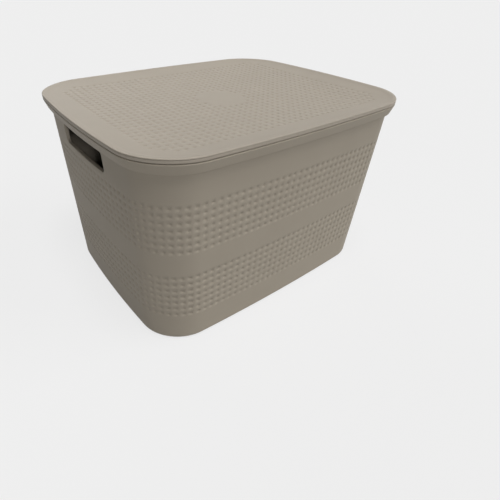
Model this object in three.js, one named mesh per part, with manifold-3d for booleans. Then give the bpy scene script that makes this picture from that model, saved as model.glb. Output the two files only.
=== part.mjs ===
// Storage box: a moulded tub, a lift-off lid and an upright divider panel.
// Units are millimetres. +Z is up and the box stands on Z = 0, centred on the Z axis.
// +X runs along the length, so the two handle openings are in the end walls, at -X and +X.

import * as THREE from 'three';
import { mergeVertices } from 'three/addons/utils/BufferGeometryUtils.js';
import Module from 'manifold-3d';

const wasm = await Module();
wasm.setup();

// Rim outline, seen from above and taken along the crest of the lid's edge.
// The half sizes are at the corners. The bows are how far each side swells beyond them.
const RIM_HALF_LENGTH = 245;
const RIM_HALF_WIDTH = 202.5;
const RIM_CORNER_RADIUS = 70.8;
const RIM_END_BOW = 13.4;
const RIM_SIDE_BOW = 8.9;

// Foot outline: the outer face of the walls at the bottom.
const FOOT_HALF_LENGTH = 219.3;
const FOOT_HALF_WIDTH = 170.1;
const FOOT_CORNER_RADIUS = 59.2;
const FOOT_END_BOW = 8.2;
const FOOT_SIDE_BOW = 6.6;

// Tub: walls and floor.
const TUB_HEIGHT = 305;
const WALL_THICKNESS = 2.4;
const FLOOR_THICKNESS = 2.6;
const FOOT_EDGE_RADIUS = 6;
const FOOT_RING_WIDTH = 9;
const FOOT_RECESS = 2;
const FLOOR_FILLET_RADIUS = 10;

// Tub: rim. The wall steps outward at an inner ledge, turns over at the top and comes down
// outside as a skirt. The skirt's foot stands clear of the wall by the groove.
const RIM_OVERHANG = 1.8;
const RIM_EDGE_ROUNDING = 1.2;
const SKIRT_HEIGHT = 16;
const SKIRT_THICKNESS = 2.2;
const SKIRT_GROOVE = 0.4;
const NECK_INSET = 9;
const LEDGE_DEPTH = 11;
const LEDGE_WIDTH = 2.4;

// Handle openings, each with a lip that makes the edge deeper for the fingers.
const HANDLE_WIDTH = 140;
const HANDLE_HEIGHT = 32;
const HANDLE_BELOW_SKIRT = 5;
const HANDLE_LOWER_RADIUS = 8;
const HANDLE_UPPER_RADIUS = 5;
const HANDLE_LIP_DEPTH = 8;
const HANDLE_LIP_WALL = 2.2;

// Lid.
const LID_GAP = 0.3;
const LID_EDGE_HEIGHT = 6.7;
const LID_NOSE_OVERHANG = 3.7;
const LID_NOSE_DROP = 1.5;
const LID_BAND_THICKNESS = 2.4;
const LID_SKIN = 2.2;
const LID_PANEL_DROP = 4.2;
const LID_SLOPE_WIDTH = 10;
const LID_DISH_DEPTH = 8.8;
const LID_CENTRE_RADIUS = 42;
const LID_PLUG_CLEARANCE = 1;
const LID_PLUG_DEPTH = 8.5;
const LID_PLUG_THICKNESS = 2.2;

// Divider and the ribs that guide it.
const DIVIDER_THICKNESS = 3;
const DIVIDER_BELOW_LEDGE = 1;
const DIVIDER_BEAD_THICKNESS = 5;
const DIVIDER_BEAD_HEIGHT = 6;
const DIVIDER_END_CLEARANCE = 0.8;
const DIVIDER_FACE_CLEARANCE = 0.4;
const DIVIDER_FLOOR_CLEARANCE = 0.3;
const GUIDE_RIB_WIDTH = 2.4;
const GUIDE_RIB_HEIGHT = 5;
const GUIDE_BELOW_BEAD = 2;

// Smoothness of the faceted shapes.
const CORNER_STEPS = 8;
const SIDE_STEPS = 8;
const FILLET_STEPS = 3;
const SLOPE_STEPS = 4;
const DISH_STEPS = 6;
const HANDLE_CURVE_STEPS = 4;
const OVERLAP_FOR_CUTS = 1;
const MERGE_TOLERANCE = 1e-4;

const PLASTIC_COLOUR = '#a59c8f';
const PLASTIC_ROUGHNESS = 0.6;

// Heights that follow from the sizes above.
const SKIRT_FOOT_Z = TUB_HEIGHT - SKIRT_HEIGHT;
const SKIRT_TOP_Z = TUB_HEIGHT - RIM_EDGE_ROUNDING;
const GROOVE_TOP_Z = TUB_HEIGHT - WALL_THICKNESS;
const LEDGE_Z = TUB_HEIGHT - LEDGE_DEPTH;
const FLOOR_Z = FOOT_RECESS + FLOOR_THICKNESS;
const HANDLE_TOP_Z = SKIRT_FOOT_Z - HANDLE_BELOW_SKIRT;
const HANDLE_BOTTOM_Z = HANDLE_TOP_Z - HANDLE_HEIGHT;
const HANDLE_MIDDLE_Z = (HANDLE_TOP_Z + HANDLE_BOTTOM_Z) / 2;
const LID_BOTTOM_Z = TUB_HEIGHT + LID_GAP;
const LID_CREST_Z = LID_BOTTOM_Z + LID_EDGE_HEIGHT;
const LID_PANEL_EDGE_Z = LID_CREST_Z - LID_PANEL_DROP;
const LID_CENTRE_Z = LID_PANEL_EDGE_Z - LID_DISH_DEPTH;
const DIVIDER_TOP_Z = LEDGE_Z - DIVIDER_BELOW_LEDGE;
const DIVIDER_BOTTOM_Z = FLOOR_Z + DIVIDER_FLOOR_CLEARANCE;
const GUIDE_TOP_Z = DIVIDER_TOP_Z - DIVIDER_BEAD_HEIGHT - GUIDE_BELOW_BEAD;

const RIM = {
  halfLength: RIM_HALF_LENGTH,
  halfWidth: RIM_HALF_WIDTH,
  cornerRadius: RIM_CORNER_RADIUS,
  endBow: RIM_END_BOW,
  sideBow: RIM_SIDE_BOW,
};

const FOOT = {
  halfLength: FOOT_HALF_LENGTH,
  halfWidth: FOOT_HALF_WIDTH,
  cornerRadius: FOOT_CORNER_RADIUS,
  endBow: FOOT_END_BOW,
  sideBow: FOOT_SIDE_BOW,
};

// Moves an outline outward by an offset, or inward by a negative one.
function offsetOutline(outline, offset) {
  return {
    ...outline,
    halfLength: outline.halfLength + offset,
    halfWidth: outline.halfWidth + offset,
    cornerRadius: Math.max(outline.cornerRadius + offset, 0),
  };
}

// The wall is straight from the foot to the neck under the skirt, so its outline at any
// height is a blend of those two.
const NECK = offsetOutline(RIM, -NECK_INSET);

function wallOutline(height) {
  const share = height / SKIRT_FOOT_Z;
  const blend = (key) => FOOT[key] + (NECK[key] - FOOT[key]) * share;
  return {
    halfLength: blend('halfLength'),
    halfWidth: blend('halfWidth'),
    cornerRadius: blend('cornerRadius'),
    endBow: blend('endBow'),
    sideBow: blend('sideBow'),
  };
}

// Swells the sides of a rounded rectangle outward, most at their middles.
function bowPoint(x, y, outline) {
  const alongEnd = 1 - (y / outline.halfWidth) ** 2;
  const alongSide = 1 - (x / outline.halfLength) ** 2;
  return new THREE.Vector2(
    x + outline.endBow * (x / outline.halfLength) * alongEnd,
    y + outline.sideBow * (y / outline.halfWidth) * alongSide,
  );
}

// Points of a bowed rounded rectangle, counter-clockwise from above.
function outlinePoints(outline) {
  const radius = Math.min(outline.cornerRadius, outline.halfWidth, outline.halfLength);
  const cornerX = outline.halfLength - radius;
  const cornerY = outline.halfWidth - radius;
  const centres = [[cornerX, cornerY], [-cornerX, cornerY], [-cornerX, -cornerY], [cornerX, -cornerY]];
  const arcs = centres.map(([x, y], corner) => {
    const arc = [];
    for (let step = 0; step <= CORNER_STEPS; step += 1) {
      const angle = (corner + step / CORNER_STEPS) * Math.PI / 2;
      arc.push(new THREE.Vector2(x + radius * Math.cos(angle), y + radius * Math.sin(angle)));
    }
    return arc;
  });
  const points = [];
  arcs.forEach((arc, corner) => {
    const sideStart = arc[CORNER_STEPS];
    const sideEnd = arcs[(corner + 1) % arcs.length][0];
    points.push(...arc);
    for (let step = 1; step < SIDE_STEPS; step += 1) {
      points.push(sideStart.clone().lerp(sideEnd, step / SIDE_STEPS));
    }
  });
  return points.map((point) => bowPoint(point.x, point.y, outline));
}

function ringAt(outline, height) {
  return outlinePoints(outline).map((point) => new THREE.Vector3(point.x, point.y, height));
}

function rimRing(offset, height) {
  return ringAt(offsetOutline(RIM, offset), height);
}

function wallRing(offset, height) {
  return ringAt(offsetOutline(wallOutline(height), offset), height);
}

// Closed body through a row of rings, with a flat cap on the first and the last.
// The rings run up the outside and down the inside, or up the middle and back over the top.
function loftRings(rings) {
  const count = rings[0].length;
  const last = rings.length - 1;
  const firstCentre = new THREE.Vector3(0, 0, rings[0][0].z);
  const lastCentre = new THREE.Vector3(0, 0, rings[last][0].z);
  const points = [...rings.flat(), firstCentre, lastCentre];
  const firstCentreIndex = points.length - 2;
  const lastCentreIndex = points.length - 1;
  const faces = [];
  for (let side = 0; side < count; side += 1) {
    const next = (side + 1) % count;
    faces.push(firstCentreIndex, next, side);
    faces.push(lastCentreIndex, last * count + side, last * count + next);
    for (let ring = 0; ring < last; ring += 1) {
      const here = ring * count;
      const above = here + count;
      faces.push(here + side, here + next, above + next);
      faces.push(here + side, above + next, above + side);
    }
  }
  const geometry = new THREE.BufferGeometry().setFromPoints(points);
  geometry.setIndex(faces);
  return geometry;
}

// Extrudes a shape drawn in Y and Z along X, between two places.
function extrudeAlongX(shape, fromX, toX) {
  const geometry = new THREE.ExtrudeGeometry(shape, {
    depth: toX - fromX,
    bevelEnabled: false,
    curveSegments: HANDLE_CURVE_STEPS,
  });
  const turn = new THREE.Matrix4().makeBasis(
    new THREE.Vector3(0, 1, 0),
    new THREE.Vector3(0, 0, 1),
    new THREE.Vector3(1, 0, 0),
  );
  geometry.applyMatrix4(turn);
  geometry.translate(fromX, 0, 0);
  return geometry;
}

function toSolid(geometry) {
  const bare = geometry.clone();
  bare.deleteAttribute('normal');
  bare.deleteAttribute('uv');
  const merged = mergeVertices(bare, MERGE_TOLERANCE);
  return new wasm.Manifold(new wasm.Mesh({
    numProp: 3,
    vertProperties: Float32Array.from(merged.attributes.position.array),
    triVerts: Uint32Array.from(merged.index.array),
  }));
}

function toGeometry(solid) {
  const mesh = solid.getMesh();
  const geometry = new THREE.BufferGeometry();
  geometry.setAttribute('position', new THREE.BufferAttribute(mesh.vertProperties, mesh.numProp));
  geometry.setIndex(new THREE.BufferAttribute(mesh.triVerts, 1));
  return geometry;
}

function makeMesh(name, geometry) {
  const plastic = new THREE.MeshStandardMaterial({
    color: PLASTIC_COLOUR,
    roughness: PLASTIC_ROUGHNESS,
    metalness: 0,
  });
  geometry.computeVertexNormals();
  const mesh = new THREE.Mesh(geometry, plastic);
  mesh.name = name;
  return mesh;
}

// Rings of the rounded edge where the wall turns under to the foot, from below upward.
function footEdgeRings() {
  const rings = [];
  for (let step = 0; step <= FILLET_STEPS; step += 1) {
    const angle = (step / FILLET_STEPS) * Math.PI / 2;
    const inset = FOOT_EDGE_RADIUS * (1 - Math.sin(angle));
    const height = FOOT_EDGE_RADIUS * (1 - Math.cos(angle));
    rings.push(wallRing(-inset, height));
  }
  return rings;
}

// Rings of the fillet between the inner wall and the floor, from above downward.
function floorFilletRings() {
  const rings = [];
  for (let step = 0; step <= FILLET_STEPS; step += 1) {
    const angle = (step / FILLET_STEPS) * Math.PI / 2;
    const inset = WALL_THICKNESS + FLOOR_FILLET_RADIUS * (1 - Math.cos(angle));
    const height = FLOOR_Z + FLOOR_FILLET_RADIUS * (1 - Math.sin(angle));
    rings.push(wallRing(-inset, height));
  }
  return rings;
}

// Above the ledge the wall is wider, which leaves a pocket that takes the lid's plug.
const POCKET_INSET = WALL_THICKNESS - LEDGE_WIDTH;
const SKIRT_FOOT_INSET = NECK_INSET - LEDGE_WIDTH - SKIRT_GROOVE - SKIRT_THICKNESS;

// Outward offset of the skirt's outer face from the rim outline. The skirt leans outward.
function skirtOffset(height) {
  const share = (height - SKIRT_FOOT_Z) / (SKIRT_TOP_Z - SKIRT_FOOT_Z);
  return -SKIRT_FOOT_INSET + (RIM_OVERHANG + SKIRT_FOOT_INSET) * share;
}

// Rings from the wall's outer face, up inside the skirt, down and over it, and into the pocket.
function rimRings() {
  return [
    wallRing(0, LEDGE_Z - WALL_THICKNESS),
    wallRing(LEDGE_WIDTH, LEDGE_Z),
    wallRing(LEDGE_WIDTH, GROOVE_TOP_Z),
    rimRing(skirtOffset(GROOVE_TOP_Z) - SKIRT_THICKNESS, GROOVE_TOP_Z),
    rimRing(skirtOffset(SKIRT_FOOT_Z) - SKIRT_THICKNESS, SKIRT_FOOT_Z),
    rimRing(skirtOffset(SKIRT_FOOT_Z), SKIRT_FOOT_Z),
    rimRing(RIM_OVERHANG, SKIRT_TOP_Z),
    rimRing(RIM_OVERHANG - RIM_EDGE_ROUNDING, TUB_HEIGHT),
    wallRing(-POCKET_INSET, TUB_HEIGHT),
    wallRing(-POCKET_INSET, LEDGE_Z),
    wallRing(-WALL_THICKNESS, LEDGE_Z),
  ];
}

function tubShell() {
  const recessInset = FOOT_EDGE_RADIUS + FOOT_RING_WIDTH;
  return toSolid(loftRings([
    ringAt(offsetOutline(FOOT, -recessInset), FOOT_RECESS),
    ringAt(offsetOutline(FOOT, -recessInset), 0),
    ...footEdgeRings(),
    ...rimRings(),
    ...floorFilletRings(),
  ]));
}

// The space inside the outer faces of the walls, used to trim what is added to them.
function wallEnvelope() {
  return toSolid(loftRings([
    wallRing(0, 0),
    wallRing(0, LEDGE_Z),
  ]));
}

// Handle opening, drawn in Y and Z, grown all round by a margin.
function handleShape(margin) {
  const halfWidth = HANDLE_WIDTH / 2 + margin;
  const bottom = HANDLE_BOTTOM_Z - margin;
  const top = HANDLE_TOP_Z + margin;
  const lower = HANDLE_LOWER_RADIUS + margin;
  const upper = HANDLE_UPPER_RADIUS + margin;
  const shape = new THREE.Shape();
  shape.moveTo(-halfWidth + lower, bottom);
  shape.absarc(halfWidth - lower, bottom + lower, lower, -Math.PI / 2, 0);
  shape.absarc(halfWidth - upper, top - upper, upper, 0, Math.PI / 2);
  shape.absarc(-halfWidth + upper, top - upper, upper, Math.PI / 2, Math.PI);
  shape.absarc(-halfWidth + lower, bottom + lower, lower, Math.PI, Math.PI * 3 / 2);
  return shape;
}

function endWallX(height) {
  const outline = wallOutline(height);
  return outline.halfLength + outline.endBow;
}

// Inner and outer X of a block that reaches from a handle lip's inner face past the wall.
const LIP_INNER_X = endWallX(HANDLE_MIDDLE_Z) - HANDLE_LIP_DEPTH;
const LIP_OUTER_X = endWallX(TUB_HEIGHT) + OVERLAP_FOR_CUTS;

function handleLip(side) {
  const [from, to] = side > 0 ? [LIP_INNER_X, LIP_OUTER_X] : [-LIP_OUTER_X, -LIP_INNER_X];
  return toSolid(extrudeAlongX(handleShape(HANDLE_LIP_WALL), from, to));
}

function handleCut(side) {
  const innerX = LIP_INNER_X - OVERLAP_FOR_CUTS;
  const [from, to] = side > 0 ? [innerX, LIP_OUTER_X] : [-LIP_OUTER_X, -innerX];
  return toSolid(extrudeAlongX(handleShape(0), from, to));
}

// Y of the inner face of the side wall, at the middle of the length.
function innerSideY(height) {
  const outline = wallOutline(height);
  return outline.halfWidth + outline.sideBow - WALL_THICKNESS;
}

// One rib on the inner face of a side wall. Two ribs, one each side of the panel, make a guide.
function guideRib(sideX, sideY) {
  const buried = WALL_THICKNESS / 2;
  const bottom = FLOOR_Z - FLOOR_THICKNESS / 2;
  const corners = [
    [innerSideY(bottom) - GUIDE_RIB_HEIGHT, bottom],
    [innerSideY(bottom) + buried, bottom],
    [innerSideY(GUIDE_TOP_Z) + buried, GUIDE_TOP_Z],
    [innerSideY(GUIDE_TOP_Z) - GUIDE_RIB_HEIGHT, GUIDE_TOP_Z],
  ];
  const outline = corners.map(([y, z]) => new THREE.Vector2(y * sideY, z));
  const near = DIVIDER_THICKNESS / 2 + DIVIDER_FACE_CLEARANCE;
  const far = near + GUIDE_RIB_WIDTH;
  const [from, to] = sideX > 0 ? [near, far] : [-far, -near];
  return toSolid(extrudeAlongX(new THREE.Shape(outline), from, to));
}

function makeTub() {
  const envelope = wallEnvelope();
  let tub = tubShell();
  for (const side of [-1, 1]) {
    tub = tub.add(handleLip(side).intersect(envelope)).subtract(handleCut(side));
  }
  for (const sideX of [-1, 1]) {
    for (const sideY of [-1, 1]) {
      tub = tub.add(guideRib(sideX, sideY).intersect(envelope));
    }
  }
  return makeMesh('tub', toGeometry(tub));
}

// The plug is upright, and clears the pocket at the ledge, where the pocket is narrowest.
function plugRing(offset, height) {
  return ringAt(offsetOutline(wallOutline(LEDGE_Z), offset), height);
}

// Rings of the dished panel, from its flat round centre outward to its edge. The dish gets
// steeper towards the edge.
function dishRings(edgeOutline, centreZ) {
  const rings = [];
  for (let step = 0; step <= DISH_STEPS; step += 1) {
    const share = step / DISH_STEPS;
    const height = centreZ + LID_DISH_DEPTH * share ** 2;
    rings.push(outlinePoints(edgeOutline).map((edge) => {
      const place = edge.clone().setLength(LID_CENTRE_RADIUS).lerp(edge, share);
      return new THREE.Vector3(place.x, place.y, height);
    }));
  }
  return rings;
}

// Rings of the lid's underside, from the middle outward: the dished panel, the locating plug,
// the hollow under the raised edge, then the inner face of the outer band.
function lidUndersideRings() {
  const undersideZ = LID_PANEL_EDGE_Z - LID_SKIN;
  const hollowTopZ = LID_CREST_Z - LID_SKIN;
  const plugBottomZ = LID_BOTTOM_Z - LID_PLUG_DEPTH;
  const plugOuter = -POCKET_INSET - LID_PLUG_CLEARANCE;
  const plugInner = plugOuter - LID_PLUG_THICKNESS;
  const bandInner = RIM_OVERHANG - LID_BAND_THICKNESS;
  const panelEdge = offsetOutline(wallOutline(LEDGE_Z), plugInner);
  return [
    ...dishRings(panelEdge, LID_CENTRE_Z - LID_SKIN),
    plugRing(plugInner, plugBottomZ),
    plugRing(plugOuter, plugBottomZ),
    plugRing(plugOuter, undersideZ),
    rimRing(bandInner - LID_SKIN, hollowTopZ),
    rimRing(bandInner, hollowTopZ),
    rimRing(bandInner, LID_BOTTOM_Z),
  ];
}

// Rings of the lid's top, from outside inward: the band with its nose, the rounded crest and
// the soft slope down to the edge of the dished panel, then the panel itself.
function lidTopRings() {
  const rings = [
    rimRing(RIM_OVERHANG, LID_BOTTOM_Z),
    rimRing(LID_NOSE_OVERHANG, LID_CREST_Z - LID_NOSE_DROP),
    rimRing(LID_NOSE_OVERHANG / 2, LID_CREST_Z - LID_NOSE_DROP / 4),
  ];
  for (let step = 0; step <= SLOPE_STEPS; step += 1) {
    const share = step / SLOPE_STEPS;
    const drop = LID_PANEL_DROP * (1 - Math.cos(share * Math.PI)) / 2;
    rings.push(rimRing(-LID_SLOPE_WIDTH * share, LID_CREST_Z - drop));
  }
  const panelEdge = offsetOutline(RIM, -LID_SLOPE_WIDTH);
  const fromEdge = dishRings(panelEdge, LID_CENTRE_Z).reverse();
  rings.push(...fromEdge.slice(1));
  return rings;
}

function makeLid() {
  return makeMesh('lid', loftRings([...lidUndersideRings(), ...lidTopRings()]));
}

function mirrorAcross(points) {
  const mirrored = points.map((point) => new THREE.Vector2(-point.x, point.y));
  return [...points, ...mirrored.reverse()];
}

// The panel's own outline in Y and Z. It narrows downward with the walls, and its lower
// corners clear the fillet between wall and floor.
function makeDivider() {
  const halfAt = (height) => innerSideY(height) - DIVIDER_END_CLEARANCE;
  const beadBottomZ = DIVIDER_TOP_Z - DIVIDER_BEAD_HEIGHT;
  const cornerTopZ = DIVIDER_BOTTOM_Z + FLOOR_FILLET_RADIUS;
  const panel = new THREE.Shape(mirrorAcross([
    new THREE.Vector2(halfAt(cornerTopZ) - FLOOR_FILLET_RADIUS, DIVIDER_BOTTOM_Z),
    new THREE.Vector2(halfAt(cornerTopZ), cornerTopZ),
    new THREE.Vector2(halfAt(DIVIDER_TOP_Z), DIVIDER_TOP_Z),
  ]));
  const bead = new THREE.Shape(mirrorAcross([
    new THREE.Vector2(halfAt(beadBottomZ), beadBottomZ),
    new THREE.Vector2(halfAt(DIVIDER_TOP_Z), DIVIDER_TOP_Z),
  ]));
  const panelHalf = DIVIDER_THICKNESS / 2;
  const beadHalf = DIVIDER_BEAD_THICKNESS / 2;
  const solid = toSolid(extrudeAlongX(panel, -panelHalf, panelHalf))
    .add(toSolid(extrudeAlongX(bead, -beadHalf, beadHalf)));
  return makeMesh('divider', toGeometry(solid));
}

const storageBox = new THREE.Group();
storageBox.add(makeTub());
storageBox.add(makeLid());
storageBox.add(makeDivider());

export default storageBox;
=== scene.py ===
# %% [markdown]
# The real box is three injection mouldings in one matte taupe plastic: a tub, a lid that lifts off
# and an upright divider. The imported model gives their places, their sizes and how they move. This
# script makes the same three pieces again with what a mould leaves on them: rows of small dimples,
# rounded edges, finger lips in the handle openings and a fine grain.

# %% Load the frame
import math
from typing import NamedTuple

import bmesh
import bpy
import numpy as np
from mathutils import Matrix, Vector
from mathutils.geometry import delaunay_2d_cdt


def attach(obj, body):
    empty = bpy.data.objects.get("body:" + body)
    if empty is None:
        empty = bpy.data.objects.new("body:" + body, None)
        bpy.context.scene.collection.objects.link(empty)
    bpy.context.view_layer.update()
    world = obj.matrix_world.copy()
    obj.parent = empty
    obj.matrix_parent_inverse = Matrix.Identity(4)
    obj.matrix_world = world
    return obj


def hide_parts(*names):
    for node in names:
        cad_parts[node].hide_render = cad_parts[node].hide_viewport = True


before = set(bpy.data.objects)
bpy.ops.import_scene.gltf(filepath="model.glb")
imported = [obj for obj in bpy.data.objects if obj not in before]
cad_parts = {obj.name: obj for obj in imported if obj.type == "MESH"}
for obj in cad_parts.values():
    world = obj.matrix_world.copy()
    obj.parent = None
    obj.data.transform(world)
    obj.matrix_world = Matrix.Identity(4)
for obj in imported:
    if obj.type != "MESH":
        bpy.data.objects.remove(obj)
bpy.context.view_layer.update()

print("nodes:", list(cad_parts))

# %% [markdown]
# All sizes are in millimetres. Those in the next two cells have the same names as in the construction,
# so the two models can be compared line by line. What later cells add is the finish. Blender works in
# metres, and each mesh is scaled once, at its end.

# %% Sizes of the tub
METRES = 0.001

TUB_HEIGHT = 305
WALL_THICKNESS = 2.4
FLOOR_THICKNESS = 2.6
FOOT_EDGE_RADIUS = 6
FOOT_RING_WIDTH = 9
FOOT_RECESS = 2
FLOOR_FILLET_RADIUS = 10
RIM_OVERHANG = 1.8
RIM_EDGE_ROUNDING = 1.2
SKIRT_HEIGHT = 16
SKIRT_THICKNESS = 2.2
SKIRT_GROOVE = 0.4
NECK_INSET = 9
LEDGE_DEPTH = 11
LEDGE_WIDTH = 2.4
FLOOR_Z = FOOT_RECESS + FLOOR_THICKNESS
SKIRT_FOOT_Z = TUB_HEIGHT - SKIRT_HEIGHT
SKIRT_TOP_Z = TUB_HEIGHT - RIM_EDGE_ROUNDING
GROOVE_TOP_Z = TUB_HEIGHT - WALL_THICKNESS
LEDGE_Z = TUB_HEIGHT - LEDGE_DEPTH
print("tub height", TUB_HEIGHT, "skirt foot", SKIRT_FOOT_Z, "ledge", LEDGE_Z)

# %% Sizes of the handle openings, the lid and the divider
HANDLE_WIDTH = 140
HANDLE_HEIGHT = 32
HANDLE_BELOW_SKIRT = 5
HANDLE_LOWER_RADIUS = 8
HANDLE_UPPER_RADIUS = 5
HANDLE_LIP_DEPTH = 8
HANDLE_LIP_WALL = 2.2
HANDLE_TOP_Z = SKIRT_FOOT_Z - HANDLE_BELOW_SKIRT
HANDLE_BOTTOM_Z = HANDLE_TOP_Z - HANDLE_HEIGHT

LID_GAP = 0.3
LID_EDGE_HEIGHT = 6.7
LID_BAND_THICKNESS = 2.4
LID_SKIN = 2.2
LID_PANEL_DROP = 4.2
LID_SLOPE_WIDTH = 10
LID_DISH_DEPTH = 8.8
LID_CENTRE_RADIUS = 42
LID_PLUG_CLEARANCE = 1
LID_PLUG_DEPTH = 8.5
LID_PLUG_THICKNESS = 2.2
LID_BOTTOM_Z = TUB_HEIGHT + LID_GAP
LID_CREST_Z = LID_BOTTOM_Z + LID_EDGE_HEIGHT
LID_PANEL_EDGE_Z = LID_CREST_Z - LID_PANEL_DROP
LID_CENTRE_Z = LID_PANEL_EDGE_Z - LID_DISH_DEPTH

DIVIDER_THICKNESS = 3
DIVIDER_BELOW_LEDGE = 1
DIVIDER_BEAD_THICKNESS = 5
DIVIDER_BEAD_HEIGHT = 6
DIVIDER_END_CLEARANCE = 0.8
DIVIDER_FACE_CLEARANCE = 0.4
DIVIDER_FLOOR_CLEARANCE = 0.3
GUIDE_RIB_WIDTH = 2.4
GUIDE_RIB_HEIGHT = 5
GUIDE_BELOW_BEAD = 2
DIVIDER_TOP_Z = LEDGE_Z - DIVIDER_BELOW_LEDGE
DIVIDER_BOTTOM_Z = FLOOR_Z + DIVIDER_FLOOR_CLEARANCE
GUIDE_TOP_Z = DIVIDER_TOP_Z - DIVIDER_BEAD_HEIGHT - GUIDE_BELOW_BEAD
print("lid crest", LID_CREST_Z, "lid centre", LID_CENTRE_Z, "divider top", DIVIDER_TOP_Z)

# %% [markdown]
# Seen from above, the box is a rectangle with round corners whose four sides swell a little. A curve
# object with bezier handles could draw it, but then nobody could say where on it a dimple sits. So
# the outline is a formula here, and every ring of the model is sampled from it at equal steps. The
# dimples run round the tub in 138 columns, and each column has two steps.

# %% Outlines seen from above
COLUMNS_ROUND = 138
RING_POINTS = 2 * COLUMNS_ROUND
RING_SHARES = np.arange(RING_POINTS) / RING_POINTS
ARC_SAMPLES = 40
LINE_SAMPLES = 2801
LINE_SHARES = np.linspace(0, 1, LINE_SAMPLES)


class Outline(NamedTuple):
    """A rectangle with round corners, and how far its ends and its sides swell."""

    half_length: float
    half_width: float
    corner_radius: float
    end_bow: float
    side_bow: float


RIM = Outline(half_length=245, half_width=202.5, corner_radius=70.8, end_bow=13.4, side_bow=8.9)
FOOT = Outline(half_length=219.3, half_width=170.1, corner_radius=59.2, end_bow=8.2, side_bow=6.6)


def grown(outline, distance):
    """The outline moved outward by a distance, or inward by a negative one."""
    return outline._replace(
        half_length=outline.half_length + distance,
        half_width=outline.half_width + distance,
        corner_radius=outline.corner_radius + distance,
    )


def corner_arc(quarter, x, y, radius, count):
    """Points of a quarter circle round (x, y). Quarter 0 runs from straight below to the right."""
    angle = (quarter - 1) * math.pi / 2 + np.linspace(0, math.pi / 2, count)
    return np.column_stack([x + radius * np.cos(angle), y + radius * np.sin(angle)])


def resample(points, shares):
    """Points at these shares of the length along a line of points."""
    steps = np.linalg.norm(np.diff(points, axis=0), axis=1)
    along = np.concatenate([[0], np.cumsum(steps)]) / steps.sum()
    return np.column_stack([np.interp(shares, along, axis) for axis in points.T])


def trace(outline, shares):
    """Points of an outline at shares of its length, counter-clockwise from the middle of the front."""
    right = outline.half_length - outline.corner_radius
    back = outline.half_width - outline.corner_radius
    centres = [(right, -back), (right, back), (-right, back), (-right, -back)]
    arcs = [corner_arc(quarter, *centre, outline.corner_radius, ARC_SAMPLES)
            for quarter, centre in enumerate(centres)]
    front = [[0, -outline.half_width]]
    x, y = resample(np.vstack([front, *arcs, front]), LINE_SHARES).T
    bowed_x = x + outline.end_bow * (x / outline.half_length) * (1 - (y / outline.half_width) ** 2)
    bowed_y = y + outline.side_bow * (y / outline.half_width) * (1 - (x / outline.half_length) ** 2)
    return resample(np.column_stack([bowed_x, bowed_y]), shares)


FOOT_LINE = trace(FOOT, LINE_SHARES)
NECK_LINE = trace(grown(RIM, -NECK_INSET), LINE_SHARES)
print("outline points:", RING_POINTS, "in each ring")

# %% [markdown]
# The wall is straight from the foot to the neck under the rim, as a mould's draft is. A place on it
# is a share of the way round and a height, and an inset takes the place into the wall. Rays cast at a
# finished wall would find such places too, but a formula has them before there is any wall.

# %% Places on the wall
def wall_point(share, height, inset=0):
    """Points on the wall at shares of the way round and heights, moved in by an inset."""
    share, height, inset = np.broadcast_arrays(*np.atleast_1d(share, height, inset))
    rise = (height / SKIRT_FOOT_Z)[:, None]

    def from_above(at):
        at = at % 1
        low = np.column_stack([np.interp(at, LINE_SHARES, axis) for axis in FOOT_LINE.T])
        high = np.column_stack([np.interp(at, LINE_SHARES, axis) for axis in NECK_LINE.T])
        return low + (high - low) * rise

    nudge = 1 / LINE_SAMPLES
    forward = from_above(share + nudge) - from_above(share - nudge)
    outward = np.column_stack([forward[:, 1], -forward[:, 0]])
    outward /= np.linalg.norm(outward, axis=1)[:, None]
    return np.column_stack([from_above(share) - outward * inset[:, None], height])


def wall_ring(outset, height):
    """Ring along the wall at a height, moved outward by an outset."""
    return wall_point(RING_SHARES, height, -outset)


def rim_ring(outset, height):
    """Ring along the rim's outline, moved outward by an outset."""
    return np.column_stack([trace(grown(RIM, outset), RING_SHARES), np.full(RING_POINTS, height)])


def length_round(height):
    """Length of the wall's outer face, all the way round at a height."""
    line = wall_point(LINE_SHARES, height)
    return np.linalg.norm(np.diff(line, axis=0), axis=1).sum()


print("length round at the foot and at the neck:", length_round(0), length_round(SKIRT_FOOT_Z))

# %% [markdown]
# A moulding is one closed skin, and it is made here in patches: bands of rings, caps, and fields of
# dimples. A single solid with boolean cuts would be quicker to write, but its faces would run in
# long thin slivers and shade badly. Patches share the points along their borders, so that merging by
# distance closes the skin.

# %% Patches of a skin
def loft(rings, skipped=()):
    """Four-sided faces between rings of as many points each, with some sides left open."""
    count = len(rings[0])
    faces = []
    for low in range(0, (len(rings) - 1) * count, count):
        for side in range(count):
            if side not in skipped:
                after = (side + 1) % count
                faces.append((low + side, low + after, low + count + after, low + count + side))
    return np.vstack(rings), faces


def cap(ring):
    """Flat fan that closes a ring round the Z axis."""
    count = len(ring)
    centre = (0, 0, ring[0][2])
    return np.vstack([ring, centre]), [(side, (side + 1) % count, count) for side in range(count)]


def zip_rings(first, first_shares, second, second_shares):
    """Triangles between two rings with different numbers of points, each at a share of a turn."""
    first_ends = [*first_shares[1:], 1 + first_shares[0]]
    second_ends = [*second_shares[1:], 1 + second_shares[0]]
    faces = []
    here = 0
    there = 0
    while here < len(first) or there < len(second):
        corner = here % len(first)
        opposite = len(first) + there % len(second)
        takes_first = there == len(second) or (
            here < len(first) and first_ends[here] <= second_ends[there])
        if takes_first:
            here += 1
            faces.append((corner, here % len(first), opposite))
        else:
            there += 1
            faces.append((corner, len(first) + there % len(second), opposite))
    return np.vstack([first, second]), faces


print("faces between two rings:", len(loft([wall_ring(0, 0), wall_ring(0, TUB_HEIGHT)])[1]))

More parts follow.
